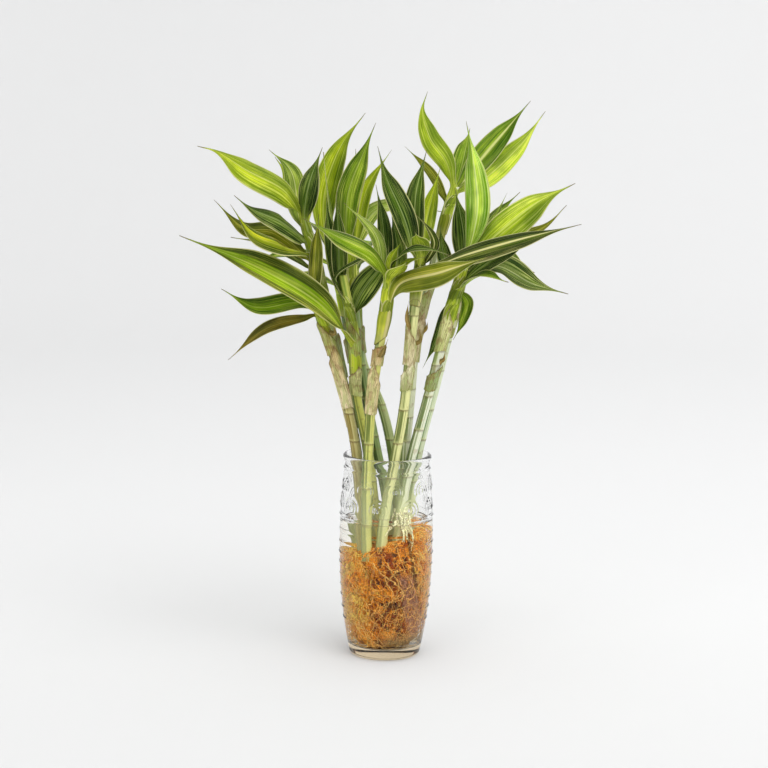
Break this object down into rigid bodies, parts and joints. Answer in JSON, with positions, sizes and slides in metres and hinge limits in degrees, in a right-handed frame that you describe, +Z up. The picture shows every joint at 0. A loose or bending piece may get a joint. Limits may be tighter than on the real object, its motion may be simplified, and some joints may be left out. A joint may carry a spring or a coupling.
{
  "type": "lucky bamboo in a glass vase",
  "caption": "Leafy dracaena canes with striped leaves, rooted in water in a clear ribbed glass vase that stands on its flat base.",
  "frame": {"origin": "centre of the vase's flat underside, on the surface that it stands on", "axes": "+Z up the vase and the canes, -Y towards the viewer of the picture, +X to the viewer's right"},
  "size_m": [0.3264, 0.2365, 0.4841],
  "materials": {
    "glass": "clear pressed glass, glossy",
    "water": "clear water",
    "roots": "wet fibrous orange-brown roots",
    "leaf": "satin green leaf with cream stripes",
    "cane": "smooth satin green cane with pale node rings",
    "sheath": "dry papery straw-coloured sheath"
  },
  "bodies": {
    "root": {"vase": "glass", "water": "water", "roots": "roots", "cane_far_left": "leaf", "cane_left": "leaf", "cane_mid_left": "leaf", "cane_back_left": "leaf", "cane_back": "leaf", "cane_crossing": "leaf", "cane_centre": "leaf", "cane_front": "leaf", "cane_tall": "leaf", "cane_right": "leaf", "cane_far_right": "leaf"}
  },
  "joints": []
}
